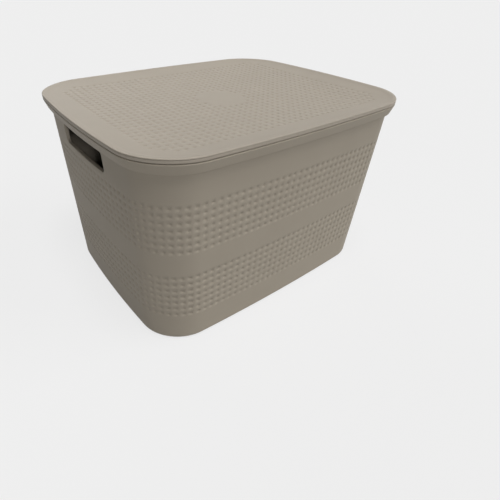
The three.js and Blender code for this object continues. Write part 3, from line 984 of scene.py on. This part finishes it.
def smooth_margin(field):
    """Triangles between the field's stepped border and the panel's edge."""
    edges = border_edges(field[1])
    used = sorted({corner for edge in edges for corner in edge})
    place = {corner: index for index, corner in enumerate(used)}
    rows = tile_borders(LID_ROWS, LID_ROW_PITCH)
    lattice = np.array([(x, y) for x in tile_borders(LID_COLUMNS, LID_COLUMN_PITCH) for y in rows])
    nudges = [(x * LID_COLUMN_PITCH / 2, y * LID_ROW_PITCH / 2) for x in (-1, 1) for y in (-1, 1)]
    free = ~np.any([has_tile(lattice[:, 0] + x, lattice[:, 1] + y) for x, y in nudges], axis=0)
    free &= dish_share(lattice[:, 0], lattice[:, 1]) < MARGIN_CLEARANCE
    flat = np.vstack([field[0][used][:, :2], PANEL_RING, lattice[free]])
    kept = [(place[a], place[b]) for a, b in edges] + round_trip(len(used), RING_POINTS)
    return on_dish(flat[:, 0], flat[:, 1]), filled(flat, kept, lambda corners, middle: has_tile(*middle))


margin = smooth_margin(field)
print("triangles in the smooth margin:", len(margin[1]))

# %% [markdown]
# The lid's edge is what the hand meets: the panel rises to a narrow crest with a rounded lip, and
# under a fine groove an upright band comes down to the tub's rim. The groove and the recess at the
# band's foot lie in shadow, so they draw two dark lines round the box. The lip stands out a little
# past the band, because a ledge there would catch the light from above. A plain edge with a bevel
# modifier would have neither line, so softened rings draw each of these steps.

# %% Edge of the lid
CREST_WIDTH = 1.4
LIP_OUTSET = 2.2
LIP_ROUND = 0.9
LIP_HEIGHT = 1
LIP_GROOVE_DEPTH = 1.2
LIP_GROOVE_WIDTH = 1.2
BAND_OUTSET = 1.9
BAND_EDGE = 0.3
BAND_INNER_OUTSET = RIM_OVERHANG - LID_BAND_THICKNESS
RECESS_HEIGHT = 0.9
RECESS_DEPTH = 1.4
HOLLOW_Z = LID_CREST_Z - LID_SKIN - CREST_WIDTH
SLOPE_STEPS = 6


def slope_rings():
    """Rings from the panel's edge up to the crest, which set off at the dish's own slope."""
    edge = on_dish(*PANEL_RING.T)
    width = LID_SLOPE_WIDTH - CREST_WIDTH
    steepness = 2 * LID_DISH_DEPTH + LID_LIFT_POWER * LID_EDGE_LIFT
    start = steepness / (np.hypot(edge[:, 0], edge[:, 1]) - LID_CENTRE_RADIUS) * width
    rings = [edge]
    for share in np.arange(1, SLOPE_STEPS + 1) / SLOPE_STEPS:
        ring = rim_ring(-LID_SLOPE_WIDTH + width * share, 0)
        rise = (LID_CREST_Z - edge[:, 2]) * share ** 2 * (3 - 2 * share)
        ring[:, 2] = edge[:, 2] + rise + start * share * (1 - share) ** 2
        rings.append(ring)
    return rings


def edge_rings():
    """Rings from the crest, over its lip, past the groove, down the band and up into the hollow."""
    lip_foot_z = LID_CREST_Z - LIP_HEIGHT
    band_top_z = lip_foot_z - LIP_GROOVE_WIDTH
    band_foot_z = LID_BOTTOM_Z + RECESS_HEIGHT
    lip = [rim_ring(LIP_OUTSET - inset, LID_CREST_Z - drop)
           for inset, drop in quarter_round(LIP_ROUND, FOLD_POINTS)]
    return soften([
        rim_ring(-CREST_WIDTH, LID_CREST_Z),
        *lip,
        rim_ring(LIP_OUTSET, lip_foot_z),
        rim_ring(LIP_OUTSET - LIP_GROOVE_DEPTH, (lip_foot_z + band_top_z) / 2),
        rim_ring(BAND_OUTSET, band_top_z),
        rim_ring(BAND_OUTSET, band_foot_z + BAND_EDGE),
        rim_ring(BAND_OUTSET - BAND_EDGE, band_foot_z),
        rim_ring(BAND_OUTSET - RECESS_DEPTH, band_foot_z),
        rim_ring(BAND_OUTSET - RECESS_DEPTH, LID_BOTTOM_Z),
        rim_ring(BAND_INNER_OUTSET, LID_BOTTOM_Z),
        rim_ring(BAND_INNER_OUTSET, HOLLOW_Z),
    ])


slope = slope_rings()
edge = edge_rings()
print("rings of the slope and of the edge:", len(slope), len(edge))

# %% Underside of the lid
UNDERSIDE_STEPS = 8


def at_height(ring, height):
    """The ring moved up or down to a height, or to one height for each point."""
    return np.column_stack([ring[:, :2], np.broadcast_to(height, RING_POINTS)])


def underside_rings():
    """Rings from the hollow under the edge, round the locating plug and in to the middle."""
    plug = wall_ring(-LID_PLUG_CLEARANCE, LEDGE_Z)
    plug_inner = wall_ring(-LID_PLUG_CLEARANCE - LID_PLUG_THICKNESS, LEDGE_Z)
    plug_foot_z = LID_BOTTOM_Z - LID_PLUG_DEPTH
    rings = soften([
        rim_ring(BAND_INNER_OUTSET, HOLLOW_Z),
        rim_ring(BAND_INNER_OUTSET - LID_SKIN, HOLLOW_Z),
        at_height(plug, LID_PANEL_EDGE_Z - LID_SKIN),
        at_height(plug, plug_foot_z),
        at_height(plug_inner, plug_foot_z),
        at_height(plug_inner, dish_height(*plug_inner[:, :2].T) - LID_SKIN),
    ])
    edge = plug_inner[:, :2]
    centre = edge / np.linalg.norm(edge, axis=1)[:, None] * LID_CENTRE_RADIUS
    for share in np.arange(1, UNDERSIDE_STEPS + 1) / UNDERSIDE_STEPS:
        place = edge + (centre - edge) * share
        rings.append(on_dish(place[:, 0], place[:, 1], LID_SKIN))
    return rings


underside = underside_rings()
print("rings of the underside:", len(underside))

# %% The whole lid
lid = join_body("lid_moulding", [
    field,
    margin,
    loft(slope),
    loft(edge),
    loft(underside),
    cap(underside[-1]),
])

# %% [markdown]
# The divider is a flat panel with a thicker rounded bead along its top, which stiffens it and gives
# the fingers a hold. It narrows downward with the walls, and its lower corners are round, because
# the tub has a fillet there. A bevelled box would miss that outline. So it is a row of sections along
# its width, each going up one face and down the other.

# %% Section through the divider
DIVIDER_EDGE = 0.9
BEAD_ROUND = 1.8
BEAD_BLEND = 0.8
BEAD_EASE = 0.2
CORNER_SHARES = (0.18, 0.32, 0.5, 0.75, 1)


def divider_profile():
    """Heights and half thicknesses from the foot of the panel to the top of its bead."""
    panel = DIVIDER_THICKNESS / 2
    bead = DIVIDER_BEAD_THICKNESS / 2
    bead_foot_z = DIVIDER_TOP_Z - DIVIDER_BEAD_HEIGHT
    foot = [(DIVIDER_BOTTOM_Z + rise, panel - inset)
            for inset, rise in quarter_round(DIVIDER_EDGE, EDGE_POINTS)]
    corner = [(DIVIDER_BOTTOM_Z + FLOOR_FILLET_RADIUS * share, panel) for share in CORNER_SHARES]
    under_bead = [
        (bead_foot_z - BEAD_BLEND, panel),
        (bead_foot_z, panel + BEAD_EASE),
        (bead_foot_z + BEAD_BLEND, bead),
    ]
    top = [(DIVIDER_TOP_Z - drop, bead - inset)
           for drop, inset in quarter_round(BEAD_ROUND, EDGE_POINTS)]
    return np.array([*foot, *corner, *under_bead, *top])


print("points up one face of the divider:", len(divider_profile()))

# %% The whole divider
LEAST_HALF_THICKNESS = DIVIDER_EDGE / 4


def inner_half_width(height):
    """Half the width inside the tub at a height, where the divider stands."""
    return -wall_point(0, height, WALL_THICKNESS)[0][1]


def make_divider():
    """Sections lofted from one rounded end to the other, with both ends closed."""
    height, half = divider_profile().T
    up = np.clip((height - DIVIDER_BOTTOM_Z) / FLOOR_FILLET_RADIUS, 0, 1)
    corner = FLOOR_FILLET_RADIUS * (1 - np.sqrt(up * (2 - up)))
    limit = np.array([inner_half_width(z) for z in height]) - DIVIDER_END_CLEARANCE - corner
    ends = quarter_round(DIVIDER_EDGE, FOLD_POINTS)
    stations = [(-1, drawn_in, thinned) for drawn_in, thinned in reversed(ends)]
    stations += [(1, drawn_in, thinned) for drawn_in, thinned in ends]
    sections = []
    for side, drawn_in, thinned in stations:
        y = side * (limit - drawn_in)
        x = np.maximum(half - thinned, LEAST_HALF_THICKNESS)
        face = np.column_stack([-x, y, height])
        sections.append(np.vstack([face, (face * (-1, 1, 1))[::-1]]))
    points, faces = loft(sections)
    count = len(height)
    for start in (0, len(points) - 2 * count):
        for row in range(count - 1):
            back = start + 2 * count - 1 - row
            faces.append((start + row, start + row + 1, back - 1, back))
    return join_body("divider_moulding", [(points, faces)])


divider = make_divider()

# %% [markdown]
# Each moulding gets its plastic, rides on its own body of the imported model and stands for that
# body's plain solid, which stays behind for the motion. Parenting by hand would look the same at
# rest, but only a piece that rides on a body follows it when the lid is lifted.

# %% Dress the pieces and tie them to the frame
for piece, material, body, slot in (
    (tub, tub_plastic, "tub", "tub_plastic"),
    (lid, lid_plastic, "lid", "lid_plastic"),
    (divider, divider_plastic, "divider", "divider_plastic"),
):
    piece.data.materials.append(material)
    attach(piece, body)
    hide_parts(body)
    print(piece.name, "rides on", body)

# %% [markdown]
# The box stands on a pale floor that runs out of the picture. A plain floor of that colour would
# throw more light back up at the walls. So this one shows the camera mostly its own even paleness
# and only a little of the light on it, and still keeps a soft shadow. To the box it is an ordinary
# light grey floor.

# %% Floor
FLOOR_EVEN = "#fdfdfd"
FLOOR_GREY = "#c0c0c0"
FLOOR_DROP = 0.3
FLOOR_SIZE = 60000
SHADOW_SHARE = 0.25


def seen_directly(tree):
    """1 for rays from the camera, from a reflection or through glass, and otherwise 0."""
    path = add_node(tree, "ShaderNodeLightPath").outputs
    either = add_node(tree, "ShaderNodeMath", {
        0: path["Is Camera Ray"], 1: path["Is Glossy Ray"]}, operation="MAXIMUM")
    return add_node(tree, "ShaderNodeMath", {
        0: either.outputs[0], 1: path["Is Transmission Ray"]}, operation="MAXIMUM")


def make_floor():
    """A large square just under the foot."""
    half = FLOOR_SIZE * METRES / 2
    height = -FLOOR_DROP * METRES
    corners = [(x * half, y * half, height) for x, y in ((-1, -1), (1, -1), (1, 1), (-1, 1))]
    mesh = bpy.data.meshes.new("floor")
    mesh.from_pydata(corners, [], [(0, 1, 2, 3)])
    floor = bpy.data.objects.new("floor", mesh)
    bpy.context.scene.collection.objects.link(floor)
    material = bpy.data.materials.new("pale floor")
    material.use_nodes = True
    tree = material.node_tree
    tree.nodes.clear()
    lit = add_node(tree, "ShaderNodeBsdfDiffuse", {"Color": linear(FLOOR_GREY)})
    even = add_node(tree, "ShaderNodeEmission", {"Color": linear(FLOOR_EVEN), "Strength": 1})
    shown = add_node(tree, "ShaderNodeMixShader", {
        0: SHADOW_SHARE, 1: even.outputs[0], 2: lit.outputs[0]})
    chosen = add_node(tree, "ShaderNodeMixShader", {
        0: seen_directly(tree).outputs[0], 1: lit.outputs[0], 2: shown.outputs[0]})
    add_node(tree, "ShaderNodeOutputMaterial", {"Surface": chosen.outputs[0]})
    mesh.materials.append(material)
    return floor


make_floor()
print("floor lies", FLOOR_DROP, "mm under the foot")

# %% [markdown]
# Behind the floor lies an even pale room. A room as bright as it looks would fill the shadows under
# the rim and in the dimples, so this one lights the box only a little and leaves that to the lamps.

# %% World
BACKGROUND = "#efefef"
ROOM_LIGHT = 0.03


def make_world():
    """Pale to the eye, and dim as a light."""
    world = bpy.data.worlds.new("studio")
    world.use_nodes = True
    tree = world.node_tree
    tree.nodes.clear()
    room = add_node(tree, "ShaderNodeBackground", {"Color": (1, 1, 1, 1), "Strength": ROOM_LIGHT})
    shown = add_node(tree, "ShaderNodeBackground", {"Color": linear(BACKGROUND), "Strength": 1})
    chosen = add_node(tree, "ShaderNodeMixShader", {
        0: seen_directly(tree).outputs[0], 1: room.outputs[0], 2: shown.outputs[0]})
    add_node(tree, "ShaderNodeOutputWorld", {"Surface": chosen.outputs[0]})
    bpy.context.scene.world = world


make_world()
print("the room looks", BACKGROUND, "and lights with strength", ROOM_LIGHT)

# %% [markdown]
# The light is soft, as from large panels far away. Area lamps fade with distance and would light the
# floor unevenly. So a sun lamp with a wide angle stands for each panel: it lights the floor evenly
# and still gives soft shadows. The lamp at the front is a narrow one, because it looks through the
# handle opening and lets the wall inside show its colour.

# %% Lamps
# Each lamp has an azimuth, an elevation, a strength and a width, with its angles in degrees.
LAMPS = {
    "top": (-17, 75, 1.85, 25),
    "front": (-17, 22, 0.6, 6),
    "front right": (52, 33, 1, 40),
    "back": (170, 35, 0.45, 40),
}


def direction(azimuth, elevation):
    """Unit vector from the box towards an azimuth, with 0 at the front, and an elevation."""
    turn = math.radians(azimuth)
    rise = math.radians(elevation)
    return Vector((math.sin(turn) * math.cos(rise), -math.cos(turn) * math.cos(rise), math.sin(rise)))


def make_lamp(name, azimuth, elevation, strength, width):
    """Soft lamp far away that shines on the box from a direction."""
    light = bpy.data.lights.new(name, "SUN")
    light.energy = strength
    light.angle = math.radians(width)
    lamp = bpy.data.objects.new(name, light)
    lamp.rotation_euler = direction(azimuth, elevation).to_track_quat("Z", "Y").to_euler()
    bpy.context.scene.collection.objects.link(lamp)


for name, values in LAMPS.items():
    make_lamp(name, *values)
    print("lamp", name, "shines from", values[0], values[1])

# %% [markdown]
# The camera stands where the photograph's did. A near camera with a wide lens and a far one with a
# long lens frame a box alike, so one placed by eye would easily slant its edges wrongly. Instead its
# place, its focal length and its small shift were worked out from those edges in the photograph.

# %% Camera
CAMERA_AZIMUTH = -37.70
CAMERA_ELEVATION = 26.25
CAMERA_ROLL = 1.30
CAMERA_DISTANCE = 773.7
CAMERA_TARGET_Z = 156
FOCAL_PIXELS = 415.4
IMAGE_PIXELS = 500
CENTRE_PIXEL_X = 219
CENTRE_PIXEL_Y = 173
SENSOR_WIDTH = 36


def make_camera():
    """The camera, aimed at a point above the middle of the footprint and rolled a little."""
    turn = math.radians(CAMERA_AZIMUTH)
    roll = math.radians(CAMERA_ROLL)
    back = direction(CAMERA_AZIMUTH, CAMERA_ELEVATION)
    level = Vector((math.cos(turn), math.sin(turn), 0))
    upright = back.cross(level)
    right = math.cos(roll) * level + math.sin(roll) * upright
    up = math.cos(roll) * upright - math.sin(roll) * level
    lens = bpy.data.cameras.new("camera")
    lens.sensor_width = SENSOR_WIDTH
    lens.lens = SENSOR_WIDTH * FOCAL_PIXELS / IMAGE_PIXELS
    lens.shift_x = 0.5 - CENTRE_PIXEL_X / IMAGE_PIXELS
    lens.shift_y = CENTRE_PIXEL_Y / IMAGE_PIXELS - 0.5
    lens.clip_end = FLOOR_SIZE * METRES
    camera = bpy.data.objects.new("camera", lens)
    place = (back * CAMERA_DISTANCE + Vector((0, 0, CAMERA_TARGET_Z))) * METRES
    camera.matrix_world = Matrix.Translation(place) @ Matrix((right, up, back)).transposed().to_4x4()
    bpy.context.scene.collection.objects.link(camera)
    bpy.context.scene.camera = camera
    return camera


camera = make_camera()
print("camera at", [round(value, 3) for value in camera.location])

# %% [markdown]
# The standard view shows colours as they are written.

# %% Colours as written
bpy.context.scene.view_settings.view_transform = "Standard"
